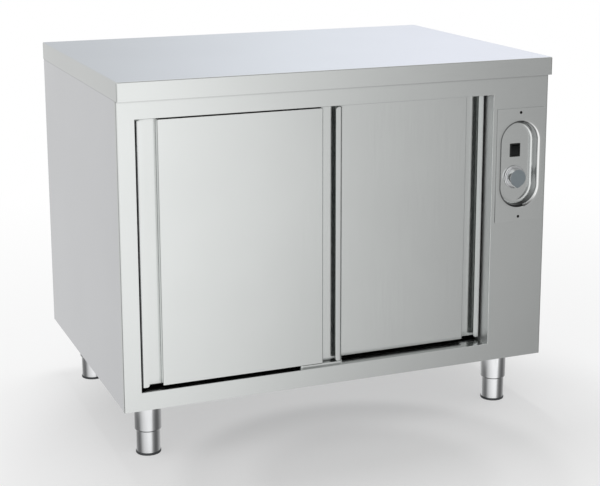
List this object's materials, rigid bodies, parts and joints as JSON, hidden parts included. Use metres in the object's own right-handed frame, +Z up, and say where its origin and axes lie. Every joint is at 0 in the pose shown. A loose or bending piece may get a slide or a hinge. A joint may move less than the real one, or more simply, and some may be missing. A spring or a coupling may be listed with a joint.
{
  "type": "plate warmer cabinet",
  "caption": "Stainless heated cupboard for plates on adjustable legs, with sliding doors, a worktop and a recessed control plate with switch and thermostat knob.",
  "frame": {"origin": "on the floor under the middle of the worktop", "axes": "+X to the right seen from the front, +Y to the back, +Z up"},
  "size_m": [1, 0.7, 0.83],
  "materials": {
    "stainless": "satin",
    "inner_stainless": "satin",
    "galvanised": "dull",
    "control_steel": "bright satin",
    "board": "raw",
    "mineral_wool": "fibrous",
    "door_foam": "foam",
    "nylon": "matte",
    "rubber": "matte",
    "black_gloss": "gloss",
    "phenolic": "matte",
    "knob_grey": "matte",
    "bright": "polished",
    "copper": "satin",
    "element": "oxidised",
    "motor_paint": "matte",
    "impeller": "satin",
    "cable": "matte",
    "leg_chrome": "satin",
    "pad": "matte"
  },
  "bodies": {
    "cabinet": {"back_panel": "galvanised", "base_pan": "galvanised", "bottom_guide": "stainless", "cable_gland": "cable", "ceiling_liner": "inner_stainless", "control_plate": "control_steel", "deck": "inner_stainless", "door_stops": "rubber", "fan_duct": "galvanised", "fan_motor": "motor_paint", "front_frame": "stainless", "heater_element": "element", "insulation": "mineral_wool", "left_liner": "inner_stainless", "left_side_panel": "stainless", "leg_mounts": "galvanised", "leg_sleeves": "leg_chrome", "partition": "inner_stainless", "rear_liner": "inner_stainless", "right_side_panel": "stainless", "shelf": "inner_stainless", "shelf_rails": "inner_stainless", "switch_housing": "black_gloss", "terminal_block": "phenolic", "thermostat_body": "phenolic", "thermostat_bulb": "copper", "top_track": "inner_stainless", "wiring_loom": "cable", "worktop_core": "board", "worktop_skin": "stainless", "worktop_stiffeners": "galvanised"},
    "front_door": {"front_door_skin": "stainless", "front_door_liner": "stainless", "front_door_core": "door_foam", "front_door_hangers": "galvanised"},
    "front_door_roller_left_wheel": {"front_door_roller_left": "nylon"},
    "front_door_roller_right_wheel": {"front_door_roller_right": "nylon"},
    "rear_door": {"rear_door_skin": "stainless", "rear_door_liner": "stainless", "rear_door_core": "door_foam", "rear_door_hangers": "galvanised"},
    "rear_door_roller_left_wheel": {"rear_door_roller_left": "nylon"},
    "rear_door_roller_right_wheel": {"rear_door_roller_right": "nylon"},
    "knob": {"thermostat_knob": "knob_grey", "knob_skirt": "bright", "thermostat_spindle": "bright"},
    "rocker_switch": {"rocker": "black_gloss"},
    "fan": {"fan_impeller": "impeller", "fan_shaft": "impeller"},
    "foot_front_left_adjuster": {"foot_front_left": "leg_chrome", "foot_pad_front_left": "pad"},
    "foot_front_right_adjuster": {"foot_front_right": "leg_chrome", "foot_pad_front_right": "pad"},
    "foot_back_left_adjuster": {"foot_back_left": "leg_chrome", "foot_pad_back_left": "pad"},
    "foot_back_right_adjuster": {"foot_back_right": "leg_chrome", "foot_pad_back_right": "pad"}
  },
  "joints": [
    {"name": "front_door_slide", "type": "slide", "parent": "cabinet", "child": "front_door", "axis": [1, 0, 0], "range_m": [0, 0.3595]},
    {"name": "rear_door_slide", "type": "slide", "parent": "cabinet", "child": "rear_door", "axis": [-1, 0, 0], "range_m": [0, 0.3595]},
    {"name": "front_door_roller_left_spin", "type": "hinge", "parent": "front_door", "child": "front_door_roller_left_wheel", "pos_m": [-0.3825, -0.3151, 0.7693], "axis": [0, 1, 0], "range_deg": [0, 1718]},
    {"name": "front_door_roller_right_spin", "type": "hinge", "parent": "front_door", "child": "front_door_roller_right_wheel", "pos_m": [-0.078, -0.3151, 0.7693], "axis": [0, 1, 0], "range_deg": [0, 1718]},
    {"name": "rear_door_roller_left_spin", "type": "hinge", "parent": "rear_door", "child": "rear_door_roller_left_wheel", "pos_m": [-0.023, -0.2871, 0.7693], "axis": [0, -1, 0], "range_deg": [0, 1718]},
    {"name": "rear_door_roller_right_spin", "type": "hinge", "parent": "rear_door", "child": "rear_door_roller_right_wheel", "pos_m": [0.2815, -0.2871, 0.7693], "axis": [0, -1, 0], "range_deg": [0, 1718]},
    {"name": "thermostat_turn", "type": "hinge", "parent": "cabinet", "child": "knob", "pos_m": [0.43, -0.33, 0.5545], "axis": [0, 1, 0], "range_deg": [0, 270]},
    {"name": "rocker_tip", "type": "hinge", "parent": "cabinet", "child": "rocker_switch", "pos_m": [0.43, -0.3144, 0.6165], "axis": [1, 0, 0], "range_deg": [-16, 0]},
    {"name": "fan_spin", "type": "hinge", "parent": "cabinet", "child": "fan", "pos_m": [0.39, 0.06, 0.33], "axis": [1, 0, 0], "continuous": true},
    {"name": "foot_front_left_height", "type": "slide", "parent": "cabinet", "child": "foot_front_left_adjuster", "axis": [0, 0, -1], "range_m": [0, 0.04]},
    {"name": "foot_front_right_height", "type": "slide", "parent": "cabinet", "child": "foot_front_right_adjuster", "axis": [0, 0, -1], "range_m": [0, 0.04]},
    {"name": "foot_back_left_height", "type": "slide", "parent": "cabinet", "child": "foot_back_left_adjuster", "axis": [0, 0, -1], "range_m": [0, 0.04]},
    {"name": "foot_back_right_height", "type": "slide", "parent": "cabinet", "child": "foot_back_right_adjuster", "axis": [0, 0, -1], "range_m": [0, 0.04]}
  ],
  "couplings": [
    {"joint": "front_door_roller_left_spin", "follows": "front_door_slide", "rad_per_m": 83.333},
    {"joint": "front_door_roller_right_spin", "follows": "front_door_slide", "rad_per_m": 83.333},
    {"joint": "rear_door_roller_left_spin", "follows": "rear_door_slide", "rad_per_m": 83.333},
    {"joint": "rear_door_roller_right_spin", "follows": "rear_door_slide", "rad_per_m": 83.333}
  ]
}
